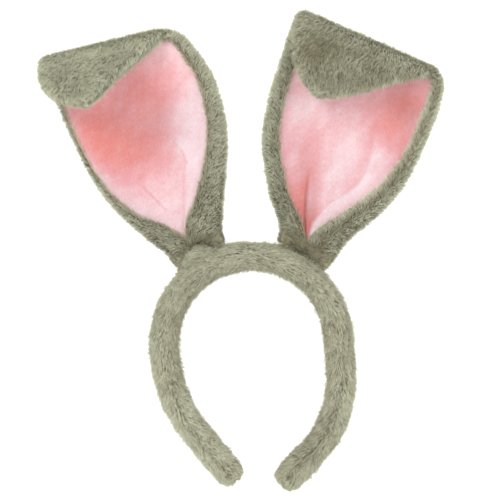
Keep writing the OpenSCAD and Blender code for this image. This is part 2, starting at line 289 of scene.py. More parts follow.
def new_material(name, roughness, sheen=0.0, sheen_tint=None):
    material = bpy.data.materials.new(name)
    material.use_nodes = True
    shader = material.node_tree.nodes["Principled BSDF"]
    shader.inputs["Roughness"].default_value = roughness
    shader.inputs["Specular IOR Level"].default_value = 0.2
    shader.inputs["Sheen Weight"].default_value = sheen
    shader.inputs["Sheen Roughness"].default_value = 0.5
    if sheen_tint:
        shader.inputs["Sheen Tint"].default_value = (*sheen_tint, 1)
    return material, material.node_tree, shader


def linear(r, g, b):
    """Linear colour from the 0 to 255 values of a display."""
    def one(c):
        c /= 255
        return c / 12.92 if c <= 0.04045 else ((c + 0.055) / 1.055) ** 2.4
    return (one(r), one(g), one(b))


def noise_node(tree, scale, detail=3.0):
    place = tree.nodes.new("ShaderNodeTexCoord")
    noise = tree.nodes.new("ShaderNodeTexNoise")
    noise.inputs["Scale"].default_value = scale
    noise.inputs["Detail"].default_value = detail
    tree.links.new(place.outputs["Object"], noise.inputs["Vector"])
    return noise.outputs["Fac"]


def ramp_node(tree, source, stops):
    ramp = tree.nodes.new("ShaderNodeValToRGB")
    elements = ramp.color_ramp.elements
    while len(elements) < len(stops):
        elements.new(0.5)
    for element, (place, colour) in zip(elements, stops):
        element.position = place
        element.color = (*colour, 1)
    tree.links.new(source, ramp.inputs["Fac"])
    return ramp.outputs["Color"]


def multiply_node(tree, a, b):
    mix = tree.nodes.new("ShaderNodeMix")
    mix.data_type = "RGBA"
    mix.blend_type = "MULTIPLY"
    mix.inputs[0].default_value = 1.0
    tree.links.new(a, mix.inputs[6])
    tree.links.new(b, mix.inputs[7])
    return mix.outputs[2]


def bump_node(tree, shader, height, strength, distance):
    bump = tree.nodes.new("ShaderNodeBump")
    bump.inputs["Strength"].default_value = strength
    bump.inputs["Distance"].default_value = distance
    tree.links.new(height, bump.inputs["Height"])
    tree.links.new(bump.outputs["Normal"], shader.inputs["Normal"])


def attribute_node(tree, name):
    node = tree.nodes.new("ShaderNodeAttribute")
    node.attribute_name = name
    return node.outputs["Fac"]


def fur_material(name, root, middle, tip):
    """Fur strands: dark at the root and pale at the tip, mottled from clump to clump."""
    material, tree, shader = new_material(name, 0.7, 0.25, linear(225, 224, 200))
    along = ramp_node(tree, attribute_node(tree, "along"),
                      [(0.0, root), (0.45, middle), (1.0, tip)])
    mottle = ramp_node(tree, noise_node(tree, 260, 4),
                       [(0.30, (0.84, 0.83, 0.80)), (0.52, (1, 1, 1)), (0.75, (1.06, 1.06, 1.05))])
    # The tone attribute holds random tone and also painted light and shade, laid on where the fur is
    # grown.
    tone = ramp_node(tree, attribute_node(tree, "tone"),
                     [(0.0, (0.58, 0.53, 0.43)), (0.5, (1, 1, 1)), (1.0, (1.22, 1.22, 1.2))])
    colour = multiply_node(tree, along, mottle)
    colour = multiply_node(tree, colour, tone)
    tree.links.new(colour, shader.inputs["Base Color"])
    return material


def backing_material(name, dark, pale):
    material, tree, shader = new_material(name, 0.9, 0.2)
    noise = noise_node(tree, 900, 5)
    ramp = ramp_node(tree, noise, [(0.3, dark), (0.7, pale)])
    tree.links.new(ramp, shader.inputs["Base Color"])
    bump_node(tree, shader, noise, 0.8, 0.6 * MM)
    return material


def velvet_material(name):
    """Pink velvet with painted light and shade in its colour: pale where its pile faces the light,
    salmon in the fold's shadow.
    """
    material, tree, shader = new_material(name, 0.85, 0.25, linear(255, 226, 230))
    # This ramp paints shade: pale pink where the lining is lit, salmon where it is shaded.
    painted_salmon_shade = ramp_node(tree, attribute_node(tree, "painted_salmon_shade"),
                      [(0.0, linear(205, 187, 190)), (0.5, linear(199, 151, 153)),
                       (1.0, linear(195, 120, 114))])
    fine = ramp_node(tree, noise_node(tree, 1500, 3),
                     [(0.35, (0.93, 0.88, 0.89)), (0.6, (1.03, 1.03, 1.03))])
    broad = ramp_node(tree, noise_node(tree, 55, 3),
                      [(0.35, (0.97, 0.90, 0.91)), (0.65, (1.02, 1.04, 1.04))])
    # This ramp paints light and shade: lighter just below the flap against the flap's shadow, darker in
    # painted shade.
    shade = ramp_node(tree, attribute_node(tree, "shade"),
                      [(0.0, (0.72, 0.72, 0.72)), (0.5, (1, 1, 1)), (1.0, (1.3, 1.3, 1.3))])
    colour = multiply_node(tree, painted_salmon_shade, shade)
    colour = multiply_node(tree, colour, fine)
    colour = multiply_node(tree, colour, broad)
    tree.links.new(colour, shader.inputs["Base Color"])
    bump_node(tree, shader, noise_node(tree, 2600, 2), 0.5, 0.25 * MM)
    return material


def grained_material(name, dark, pale, scale, roughness, metallic=0.0, bump=0.2):
    """Plain stuff with a little grain: piping, plastic, vinyl, foam, felt, thread or wire."""
    material, tree, shader = new_material(name, roughness)
    shader.inputs["Metallic"].default_value = metallic
    noise = noise_node(tree, scale, 4)
    ramp = ramp_node(tree, noise, [(0.35, linear(*dark)), (0.65, linear(*pale))])
    tree.links.new(ramp, shader.inputs["Base Color"])
    bump_node(tree, shader, noise, bump, 0.2 * MM)
    return material


FUR = fur_material("sage_fur", linear(116, 113, 88), linear(184, 184, 162), linear(215, 216, 193))
BACKING_CLOTH = backing_material("fur_backing", linear(72, 69, 50), linear(104, 101, 78))
VELVET = velvet_material("pink_velvet")
PIPING = grained_material("pink_piping", (196, 148, 116), (226, 184, 158), 2500, 0.8)

# Dark and pale colours, fineness of the grain, roughness, metallic and depth of the grain
CAD_MATERIALS = {name: grained_material(name, *look) for name, look in {
    "strip_plastic": ((214, 216, 218), (226, 228, 230), 700, 0.35, 0.0, 0.05),
    "strip_cap_vinyl": ((196, 198, 200), (212, 214, 216), 900, 0.6, 0.0, 0.1),
    "foam": ((214, 204, 168), (236, 229, 202), 2400, 0.95),
    "felt": ((96, 96, 78), (122, 122, 100), 2600, 0.95),
    "sewing_thread": ((120, 116, 92), (158, 153, 126), 3000, 0.7),
    "stiffener_fabric": ((226, 224, 216), (244, 243, 238), 2200, 0.9),
    "wire_steel": ((160, 164, 168), (196, 199, 202), 1800, 0.35, 1.0, 0.05),
}.items()}


def dress_cad_nodes():
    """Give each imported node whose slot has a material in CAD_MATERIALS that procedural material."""
    slots = {part["node"]: part["material_slot"] for part in RECORD["subparts"]}
    for name, piece in frame["nodes"].items():
        material = CAD_MATERIALS.get(slots[name])
        if material:
            piece.data.materials.clear()
            piece.data.materials.append(material)


# ---- Fur ----

class Skin:
    """A backing surface that fur grows from. At each point: direction of the nap, weight of the
    bend, density, length of the pile, lean and tone."""

    def __init__(self, verts, quads, density, nap, **values):
        self.verts = verts
        self.quads = quads
        self.density = density.ravel()
        self.values = {"place": verts, "normal": vertex_normals(verts, quads),
                       "nap": nap.reshape(-1, 3)}
        self.values.update({key: value.ravel() for key, value in values.items()})


def scatter(skin, count, rng):
    """Random places on a skin, in proportion to its area and density."""
    triangles = np.concatenate([skin.quads[:, [0, 1, 2]], skin.quads[:, [0, 2, 3]]])
    a, b, c = (skin.verts[triangles[:, k]] for k in range(3))
    area = np.linalg.norm(np.cross(b - a, c - a), axis=1)
    chance = np.cumsum(area * skin.density[triangles].mean(1))
    picked = triangles[np.searchsorted(chance, rng.uniform(0, chance[-1], count))]
    r = np.sqrt(rng.uniform(size=count))
    s = rng.uniform(size=count)
    mix = np.stack([1 - r, r * (1 - s), r * s], 1)

    def at(values):
        if values.ndim == 1:
            return (values[picked] * mix).sum(1)
        return (values[picked] * mix[:, :, None]).sum(1)

    return {key: at(values) for key, values in skin.values.items()}


def turned(v, axis, angle):
    c, s = np.cos(angle)[:, None], np.sin(angle)[:, None]
    along = (v * axis).sum(1, keepdims=True)
    return v * c + np.cross(axis, v) * s + axis * along * (1 - c)


def clump_centres(place, nap, side):
    """For each strand the middle strand of its clump; clumps are longer than they are wide."""
    centres = np.arange(0, len(place), CLUMP_STRANDS)
    tree = KDTree(len(centres))
    for index, centre in enumerate(centres):
        tree.insert(place[centre], index)
    tree.balance()
    near = centres[np.array([[hit[1] for hit in tree.find_n(p, 4)] for p in place])]
    gap = place[:, None] - place[near]
    across = (gap * side[near]).sum(-1)
    along = (gap * nap[near]).sum(-1)
    best = np.argmin(across ** 2 + 0.1 * along ** 2, axis=1)
    return near[np.arange(len(place)), best]


def grow_fur(name, skin, count, seed, bodies, ends, curl):
    """Fur as flat tapering strands that lie along the nap and lean together in clumps."""
    rng = np.random.default_rng(seed)
    root = scatter(skin, count, rng)
    place, normal = root["place"], unit(root["normal"])
    nap = unit(root["nap"] - normal * (root["nap"] * normal).sum(1, keepdims=True))
    swirl = curl * (waves(place, 13 * MM, 11) + 0.6 * waves(place, 5 * MM, 12))
    nap = turned(nap, normal, swirl + rng.normal(0, 0.13, count))
    side = unit(np.cross(nap, normal))
    length = PILE * root["pile"] * rng.uniform(0.75, 1.12, count)
    length *= 1 + 0.08 * waves(place, 7 * MM, 13)

    nearest = clump_centres(place, nap, side)
    own = rng.normal(0, LEAN_SPREAD, count)
    stray = rng.uniform(size=count) < STRAY_SHARE
    lean = FUR_LEAN * root["lean"] + 0.5 * own + 0.6 * own[nearest]
    lean = np.where(stray, rng.uniform(0.2, 0.8, count) * lean, lean)
    length = np.where(stray, rng.uniform(1.1, 1.7, count) * length, length)

    def bend(angle):
        angle = np.clip(angle, 0.05, 1.5)[:, None]
        return normal * np.cos(angle) + nap * np.sin(angle)

    middle = place + 0.5 * length[:, None] * bend(lean * 0.65)
    tip = middle + 0.5 * length[:, None] * bend(lean * 1.3)
    aside = ((place - place[nearest]) * side[nearest]).sum(1, keepdims=True) * side[nearest]
    gather = np.where(stray, 0.1, CLUMP_PULL * rng.uniform(0.5, 1.0, count))[:, None]
    tip = tip - gather * aside
    middle = middle - 0.4 * gather * aside

    facing = turned(side, unit(tip - place), rng.normal(0, 0.5, count))
    width = STRAND_W * rng.uniform(0.75, 1.25, count) * np.where(stray, 1.1, 1)
    half = 0.5 * width[:, None] * facing
    verts = np.stack([place - half, place + half, middle - 0.85 * half, middle + 0.85 * half, tip], 1)
    verts = verts.reshape(-1, 3)

    mesh = strand_mesh(name, verts, count)
    along = mesh.attributes.new("along", "FLOAT", "POINT")
    along.data.foreach_set("value", np.tile(np.float32([0, 0, 0.5, 0.5, 1]), count))
    tone = mesh.attributes.new("tone", "FLOAT", "POINT")
    shade = 0.5 + 0.1 * (own + own[nearest]) / LEAN_SPREAD + rng.uniform(-0.22, 0.22, count)
    shade += 0.07 * waves(place, 24 * MM, 14) + root["tone"]
    tone.data.foreach_set("value", np.repeat(np.clip(shade, 0, 1), 5).astype(np.float32))
    mesh.materials.append(FUR)
    piece = placed(name, mesh)
    set_blend(piece, *bodies, np.repeat(root["weight"], 5), *ends)
    return piece


def strand_mesh(name, verts, count):
    """Mesh of strands of five points: a quad at the root and a triangle at the tip."""
    strand = np.arange(count, dtype=np.int32)[:, None]
    loops = strand * 5 + np.array([0, 1, 3, 2, 2, 3, 4], np.int32)
    mesh = bpy.data.meshes.new(name)
    mesh.vertices.add(len(verts))
    mesh.vertices.foreach_set("co", verts.astype(np.float32).ravel())
    mesh.loops.add(loops.size)
    mesh.loops.foreach_set("vertex_index", loops.ravel())
    mesh.polygons.add(2 * count)
    mesh.polygons.foreach_set("loop_start", (strand * 7 + np.array([0, 4], np.int32)).ravel())
    mesh.update(calc_edges=True)
    add_strand_uv(mesh, count)
    return mesh


def add_strand_uv(mesh, count):
    """A small cell of the texture for each strand, so that a bake keeps its root-to-tip shade."""
    side = math.ceil(math.sqrt(count))
    layer = mesh.uv_layers.new(name="OFBake")
    index = np.arange(count)
    corner = np.stack([index % side, index // side], 1) / side
    shape = np.array([[0.25, 0.15], [0.75, 0.15], [0.75, 0.5], [0.25, 0.5],
                      [0.25, 0.5], [0.75, 0.5], [0.5, 0.85]]) / side
    layer.data.foreach_set("uv", (corner[:, None] + shape).astype(np.float32).ravel())


# ---- Hoop ----

def arm_path(side, lap=0.0):
    """Centreline from lap past the top of the crown to the tip: place, outward direction,
    length and distance into the round end."""
    leave, straight, bend_r, bend, tail = ARMS[side]
    leave, last = math.radians(leave), math.radians(leave - bend)
    top = math.pi / 2 + lap / CENTRE_R

    def polar(angle):
        return np.stack([np.cos(angle), np.sin(angle)], -1)

    def add_arc(radius, start, end):
        turn = np.linspace(start, end, int(radius * (start - end) / BAND_STEP))[1:]
        places.append(places[-1][-1] + radius * (polar(turn) - polar(start)))
        angles.append(turn)

    def add_run(angle, steps):
        down = np.array([math.sin(angle), -math.cos(angle)])
        places.append(places[-1][-1] + steps[1:, None] * down)
        angles.append(np.full(len(steps) - 1, angle))

    def even_steps(run):
        return np.linspace(0, run, max(2, int(run / BAND_STEP)))

    angles = [np.array([top])]
    places = [CENTRE_R * polar(angles[0])]
    add_arc(CENTRE_R, top, leave)
    add_run(leave, even_steps(straight))
    add_arc(bend_r, leave, last)
    add_run(last, even_steps(tail))
    rounded = (BAND_T / 2 - BACKING) * np.sin(np.linspace(0, math.pi / 2, 8))
    rounded[-1] *= 0.995
    add_run(last, rounded)
    place, angle = np.concatenate(places), np.concatenate(angles)
    length = np.append(0, np.cumsum(np.linalg.norm(np.diff(place, axis=0), axis=1)))
    past_end = np.append(np.zeros(len(place) - len(rounded) + 1), rounded[1:])
    mirror = [-1 if side == "left" else 1, 1]
    return place * mirror, polar(angle) * mirror, length, past_end


def band_section(count=40):
    """Points round the backing's section, [outward, depth], from the back's middle."""
    half_t, half_d = BAND_T / 2 - BACKING, BAND_D / 2 - BACKING
    radius = BAND_EDGE_R - BACKING / 2
    corner = np.array([half_t - radius, half_d - radius])
    turn = np.linspace(0, 2 * math.pi, 720, endpoint=False) + math.pi / 2
    circle = np.stack([np.cos(turn), np.sin(turn)], 1)
    outline = np.sign(circle) * corner + radius * circle
    outline = np.concatenate([outline, outline[:1]])
    place = np.concatenate([[0], np.cumsum(np.linalg.norm(np.diff(outline, axis=0), axis=1))])
    even = np.linspace(0, place[-1], count, endpoint=False)
    return np.stack([np.interp(even, place, outline[:, k]) for k in range(2)], 1)


def joint_length(side, place, length):
    """How far down the centreline the arm's joint is."""
    pivot = np.array(JOINTS[side + "_arm_spread"]["pos_m"])
    return length[np.argmin(np.linalg.norm(place - pivot[[0, 2]], axis=1))]

def past_joint(length, at_joint):
    """How far places at a length down the band have passed the arm's joint, from 0 to 1."""
    return smooth((length - at_joint) / BAND_BEND + 0.5)


def arm_ends(place):
    """Start and end points of one half of the band: the top of the crown's centreline and the arm's
    tip.
    """
    return np.array([0, 0, CENTRE_R]), np.array([place[-1, 0], 0, place[-1, 1]])


def band_surface(side, lap):
    """Points of one half of the backing, from lap past the top of the crown to the arm's tip."""
    place, outward, length, past_end = arm_path(side, lap)
    section = band_section()
    half_t = BAND_T / 2 - BACKING
    squeeze = np.sqrt(np.maximum(1 - (past_end / half_t) ** 2, 0.003))
    offset = section[None, :, 0] * squeeze[:, None]
    depth = section[None, :, 1] * (0.35 + 0.65 * squeeze[:, None])
    flat = place[:, None, :] + outward[:, None, :] * offset[:, :, None]
    verts = np.stack([flat[..., 0], depth, flat[..., 1]], -1).reshape(-1, 3)
    quads = tube_quads(len(place), len(section))
    if side == "right":
        quads = quads[:, ::-1]
    normals = vertex_normals(verts, quads)
    verts = verts + normals * (0.35 * MM * waves(verts, 16 * MM, 21))[:, None]
    weight = np.repeat(past_joint(length, joint_length(side, place, length)), len(section))
    return verts, quads, weight, place, outward, length, section


def build_band_half(side, seed):
    verts, quads, weight, place, _, _, section = band_surface(side, 0.0)
    caps = end_caps(len(place), len(section))
    if side == "right":
        caps = [cap[::-1] for cap in caps]
    bodies = ("crown", side + "_arm")
    ends = arm_ends(place)
    name = side + "_band"
    sleeve = new_object(name + "_sleeve", verts, quads, BACKING_CLOTH, caps)
    set_blend(sleeve, *bodies, weight, *ends)
    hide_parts("sleeve_" + side + "_arm", "sleeve_crown")
    build_band_fur(side, seed, bodies, ends)


def build_band_fur(side, seed, bodies, ends):
    """Fur that runs along the band, parts along a wavy line on the arm and fans out at its tip."""
    verts, quads, weight, place, outward, length, section = band_surface(side, BAND_LAP)
    shape = (len(place), len(section))
    from_tip = (length[-1] - length)[:, None]
    tangent = unit(np.gradient(place, axis=0))
    tangent, out = (np.insert(flat, 1, 0, axis=1)[:, None] for flat in (tangent, outward))
    line = 0.25 * BAND_T * np.sin(length / (21 * MM) + seed)
    across = (section[None, :, 0] - line[:, None] * 0.35) / (BAND_T / 2)
    on_arm = smooth((length - 95 * MM) / (45 * MM))[:, None]
    at_tip = np.exp(-from_tip / (7 * MM))
    fan = (0.12 + 0.55 * on_arm) * across + 1.2 * across * at_tip
    depth_fan = at_tip * section[None, :, 1] / (BAND_D / 2)
    nap = tangent + out * fan[..., None] + DEPTH * depth_fan[..., None]
    groove = np.exp(-(across / 0.16) ** 2) * on_arm * (section[None, :, 1] < 0)
    back_seam = np.exp(-(section[:, 0] / (1 * MM)) ** 2) * (section[:, 1] > 0)
    density = np.clip(length / (2 * BAND_LAP), 0, 1)[:, None] * (1 - 0.75 * back_seam)
    pile = 1 - 0.2 * groove - 0.3 * np.exp(-from_tip / (6 * MM))
    # Painted shade: the band's inner side and the arm's parting line are darkened. The tone is also a
    # little darker overall and towards the tips, and lighter far down the left arm.
    underside_shade = np.clip(-section[None, :, 0] / (BAND_T / 2), 0, 1)
    tone = -0.03 - 0.16 * groove - 0.16 * underside_shade - 0.1 * np.exp(-from_tip / (16 * MM))
    if side == "left":
        tone = tone + 0.2 * smooth((length - 118 * MM) / (25 * MM))[:, None]
    skin = Skin(verts, quads, density, np.broadcast_to(nap, (*shape, 3)), weight=weight, pile=pile,
                lean=1 - 0.25 * groove, tone=tone)
    grow_fur(side + "_band_fur", skin, BAND_STRANDS, seed, bodies, ends, 0.1)


# ---- Ears ----

class Ear:
    """Rows across one ear, from its root up to the crease, round the roll and down the tip."""

    def __init__(self, side, step):
        spec = EARS[side]
        hinge, foot = JOINTS[side + "_tip_unfold"], JOINTS[side + "_ear_tilt"]
        self.side = side
        self.spec = spec
        self.crest = np.array(hinge["pos_m"], float)
        self.along = -np.array(hinge["axis"], float)
        self.up = np.array([-self.along[2], 0, self.along[0]])
        self.root = np.array(foot["pos_m"], float)
        self.root_along = np.array(foot["axis"], float)
        self.root_up = unit(self.root * [1, 0, 1])
        self.roll_outer = ROLL_R + EAR_T
        self.roll_centre = self.crest - self.roll_outer * self.up
        self.end_angle = math.pi - math.radians(spec["lean"])
        self.half = spec["crest_half"] * MM
        self.tip = np.array(spec["tip"], float) * MM
        self.bodies = (side + "_ear", side + "_tip")
        self.ends = (self.root, self.crest)
        self.find_rows(step)

    def roll_out(self, angle):
        """Direction away from the roll's axis, at an angle round it."""
        return np.sin(angle)[:, None] * self.up + np.cos(angle)[:, None] * DEPTH

    def roll_place(self, x, angle):
        """Points on the inside of the roll: x along the crease and angle round it."""
        return self.roll_centre + x[:, None] * self.along + ROLL_R * self.roll_out(angle)

    def row_ends_on_roll(self, angle):
        below = np.clip(1 - angle / (math.pi / 2), 0, 1)
        beyond = np.clip((angle - math.pi / 2) / (self.end_angle - math.pi / 2), 0, 1)
        flare = np.array(self.spec["flare"]) * MM
        low = -self.half - below * flare[0] + beyond * (self.tip[0, 1] + self.half)
        high = self.half + below * flare[1] + beyond * (self.tip[0, 2] - self.half)
        return low, high

    def side_edge(self, end, key, top):
        """One side edge of the flat part, from the root up to the roll."""
        flare = self.spec["feet"][0 if end * self.root[0] < 0 else 1] * MM
        foot = self.root + FOOT_RISE * self.root_up + end * (ROOT_W / 2 + flare) * self.root_along
        return np.concatenate([[foot[[0, 2]]], np.array(self.spec[key]) * MM, [top[[0, 2]]]])

    def find_rows(self, step):
        """Row ends a and b, outward direction, cup, place from the root (u) and distance past
        the crest, for the flat part, the roll and the tip in turn; then widths and rims."""
        start = np.zeros(1)
        low, high = (self.roll_place(end, start)[0] for end in self.row_ends_on_roll(start))
        edges = [self.side_edge(-1, "left_edge", low), self.side_edge(1, "right_edge", high)]
        last = len(edges[0]) - 1
        u = np.linspace(0, last, int(EAR_RUN / step))[:-1]
        flat = [np.insert(curve(edge, u), 1, 0, axis=1) for edge in edges]
        cup = CUP * np.maximum(np.sin(math.pi * (u / last) ** 0.7), 0) ** 1.2

        angle = np.linspace(0, self.end_angle, int(self.end_angle * self.roll_outer / step))
        on_roll = [self.roll_place(end, angle) for end in self.row_ends_on_roll(angle)]

        spots = curve(self.tip, np.linspace(0, len(self.tip) - 1, int(TIP_RUN / step))[1:])
        down = math.cos(self.end_angle) * self.up - math.sin(self.end_angle) * DEPTH
        end = np.full(len(spots), self.end_angle)
        on_tip = [self.roll_place(x, end) + spots[:, :1] * down for x in spots[:, 1:].T]

        self.a, self.b = (np.concatenate(parts) for parts in zip(flat, on_roll, on_tip))
        self.out = np.concatenate([np.tile(DEPTH, (len(u), 1)), self.roll_out(angle),
                                   self.roll_out(end)])
        beyond = np.zeros(len(angle) + len(spots))
        self.is_flat = np.append(np.ones(len(u)), beyond)
        self.cup = np.append(cup, beyond)
        self.u = np.append(u, beyond + last)
        self.past = self.roll_outer * (np.concatenate([0 * u, angle, end]) - math.pi / 2)
        self.past[-len(spots):] += spots[:, 0]
        self.width = np.linalg.norm(self.b - self.a, axis=1)
        rims = [curve(np.array(rim)[:, None] * MM, self.u)[:, 0] for rim in self.spec["rims"]]
        tip_share = smooth(self.past / (25 * MM) + 0.5)
        rims = [rim + tip_share * (TIP_RIM - rim) for rim in rims]
        room = np.minimum(1, (self.width - 0.6 * MM) / (rims[0] + rims[1]))
        self.rims = [rim * room for rim in rims]
        self.wall = FUR_WALL * np.minimum(1, self.width / (14 * MM))

    def place(self, across, d):
        """Points at distances across from each row's left end (rows x columns), at depth d."""
        f = across / self.width[:, None]
        base = self.a[:, None] + (self.b - self.a)[:, None] * f[..., None]
        depth = d - self.cup[:, None] * (2 * f - 1) ** 2
        return base + self.out[:, None] * depth[..., None]

    def weights(self, points):
        """How far points, given row by row, have passed the crease: 0 on the ear, 1 on the tip."""
        below = np.maximum((self.roll_centre - points) @ self.up, 0) * self.is_flat[:, None]
        start, end = CREASE_BEND
        return smooth((self.past[:, None] - below - start) / (end - start))


def fur_ring(ear):
    """Section of the fur panel's backing on every row: distances across, depths, and how many
    of its last points are hidden inside."""
    w, wall = ear.width, ear.wall

    def side(rim):
        """Left rim from its free edge on the front, round the side, to the back."""
        def at(f):
            return wall + np.maximum(rim - wall, 0.3 * MM) * f

        return [(at(1), 0.1 * MM), (at(1), RIM_FRONT * 0.6), (at(0.85), RIM_FRONT),
                (at(0.55), RIM_FRONT - 0.3 * MM), (at(0.22), RIM_FRONT), (at(0.06), 0.3 * MM),
                (wall, 1.6 * MM), (wall * 1.15, 2.9 * MM), (wall * 1.6, EAR_BACK - 0.4 * MM)]

    left, right = (side(rim) for rim in ear.rims)
    inner = 1.33 * wall
    back = [(wall * 2.2 + (w - wall * 4.4) * f, EAR_BACK) for f in np.linspace(0, 1, 30)]
    hidden = [(w - inner, 0.15 * MM)]
    hidden += [(w - inner + (2 * inner - w) * f, 2.75 * MM) for f in np.linspace(0, 1, 24)]
    hidden += [(inner, 0.15 * MM)]
    ring = left + back + [(w - x, d) for x, d in right[::-1]] + hidden
    across = np.stack([x for x, _ in ring], 1)
    depth = np.tile([d for _, d in ring], (len(w), 1))
    return across, depth, len(hidden)


def rounded_end(grid):
    """Rings that close a panel beyond its last row in a half round."""
    last, before = grid[-1], grid[-2]
    middle = last.mean(0)
    ahead = unit((last - before).mean(0))
    turns = np.radians([30, 58, 80])
    return np.stack([middle + (last - middle) * math.cos(t) + ahead * 2.4 * MM * math.sin(t)
                     for t in turns])


def build_ear_fur(ear, seed):
    """Fur panel of an ear, with two coats of fur on it."""
    across, depth, hidden = fur_ring(ear)
    grid = ear.place(across, depth)
    extra = rounded_end(grid)

    def lengthened(values):
        """Values of the rows, with the last row's repeated over the rounded end."""
        return np.concatenate([values, np.repeat(values[-1:], len(extra), axis=0)])

    weight = lengthened(ear.weights(grid)).ravel()
    lengthwise = lengthened(unit(np.gradient(grid, axis=0)))
    grid = np.concatenate([grid, extra])
    rows, columns = grid.shape[:2]
    verts = grid.reshape(-1, 3)
    quads = tube_quads(rows, columns)[:, ::-1]
    caps = [cap[::-1] for cap in end_caps(rows, columns)]
    name = ear.side + "_ear"
    panel = new_object(name + "_fur_panel", verts, quads, BACKING_CLOTH, caps)
    set_blend(panel, *ear.bodies, weight, *ear.ends)

    across, depth = lengthened(across), lengthened(depth)
    width = lengthened(ear.width)[:, None]
    sideways = lengthened(unit(ear.b - ear.a))[:, None]
    past = lengthened(ear.past)[:, None]
    to_end = past[-1] - past
    on_tip = smooth(past / (12 * MM))
    at_end = np.exp(-to_end / (4 * MM))
    crest = bell(past + 3 * MM, 5 * MM)
    over = bell(past - 5 * MM, 6 * MM)
    on_front = depth < 0.6 * MM
    on_side = (depth > 0.2 * MM) & (depth < EAR_BACK - 0.6 * MM)
    f = across / width
    on_left = f < 0.5
    rim = np.where(on_left, *(lengthened(rim)[:, None] for rim in ear.rims))
    in_rim = np.clip(np.where(on_left, across, width - across) / rim, 0, 1)

    # On the front the fur parts along the rim; on the back it falls away from one line
    split = np.where(on_left, 0.95, ear.spec["split"])
    fan = np.where(on_left, -1.0, 1.0) * 1.7 * np.clip((split - in_rim) / 0.3, -0.8, 1)
    parting = 0.5 + (ear.spec["parting"] - 0.5) * on_tip
    outward = (f - parting) / np.where(f < parting, parting, 1 - parting)
    fan = np.where(on_front, fan, outward * smooth(width / (28 * MM)))

    # No fur grows on the hidden inside, little on the edge of a narrow rim, more at the tip's end
    last = columns - hidden
    density = np.ones((rows, columns))
    density[:, [1, last - 2]] = smooth((rim - 3 * MM) / (4 * MM))[:, [1, last - 2]]
    density[:, 0] = 0
    density[:, last - 1:] = 0
    density *= 1 + 2 * on_tip * at_end

    pile = np.where(on_front, 0.85, np.where(on_side, 0.9, 1.0)) - 0.25 * at_end - 0.2 * crest
    lean = np.where(on_side, 0.42, np.where(on_front, 0.85, 1.05 - 0.35 * crest + 0.4 * over))
    lean[-len(extra):] = 0.7
    # Painted light and shade in the tone: the rim's parting line and its inner border by the lining are
    # darkened as painted shade, the crest and the fold over it are lightened as painted light against
    # the fold's shadow, the ear's root is darkened as painted shade, and the tip is lightened on the
    # left ear as painted light and darkened on the right ear as painted shade. The front below the tip,
    # the tip's end and its sides are also lighter, and the right tip is darker in the middle of its
    # parting.
    groove = bell(in_rim - split, 0.16) * np.where(split < 0.9, 0.45, 0.2)
    front_tone = 0.06 * (1 - on_tip) - groove - 0.04 * smooth((in_rim - 0.7) / 0.3)
    back_tone = 0.3 * on_tip * np.exp(-to_end / (3 * MM))
    tone = np.where(on_front, front_tone, back_tone) + 0.24 * (crest + over)
    tone -= 0.28 * np.exp(-lengthened(ear.u) / 0.7)[:, None]
    swirl = ear.spec["swirl"] * bell(f - parting, 0.12) * bell(to_end - 30 * MM, 13 * MM)
    tone += on_tip * (0.15 * on_side + ear.spec["tip_light_and_shade"] - swirl)
    skin = Skin(verts, quads, density, lengthwise + sideways * fan[..., None], weight=weight,
                pile=pile, lean=lean, tone=tone)
    coats = [grow_fur(f"{name}_fur_{index + 1}", skin, EAR_STRANDS, seed + index, ear.bodies,
                      ear.ends, 0.16) for index in range(2)]
    return panel, coats, ear_area(ear, 2 * FUR_WRAP)


def ear_area(ear, wider):
    """Flat area of a sheet that follows the rows and is wider than they are."""
    middle = (ear.a + ear.b) / 2 + ear.out * EAR_BACK
    step = np.linalg.norm(np.diff(middle, axis=0), axis=1)
    width = np.maximum(ear.width + wider, 0)
    return float((step * (width[1:] + width[:-1]) / 2).sum())


